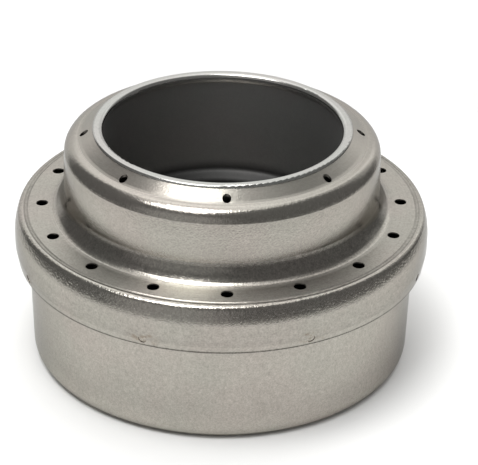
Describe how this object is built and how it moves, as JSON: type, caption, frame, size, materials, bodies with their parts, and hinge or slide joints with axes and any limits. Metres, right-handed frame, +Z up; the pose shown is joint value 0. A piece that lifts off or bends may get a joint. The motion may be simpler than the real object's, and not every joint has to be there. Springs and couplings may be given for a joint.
{
  "type": "alcohol spirit stove",
  "caption": "Low round double-walled spirit burner pressed from thin titanium: plain cup, stepped top with two rings of jet ports, open fuel well.",
  "frame": {"origin": "on the axis, at the flat underside of the cup", "axes": "+Z up, along the axis of the well, towards its mouth; -Y is the front, where one lower and one upper jet port line up"},
  "size_m": [0.0715, 0.0714, 0.0419],
  "materials": {
    "titanium_cup": "satin, bead-blasted, with faint streaks round the wall",
    "titanium_shell": "satin, bead-blasted, brighter where it is bent",
    "titanium_well": "satin, darker inside the well",
    "weld": "dull spot-weld nuggets"
  },
  "bodies": {
    "root": {"base_cup": "titanium_cup", "burner_shell": "titanium_shell", "inner_wall": "titanium_well", "spot_welds": "weld"}
  },
  "joints": []
}
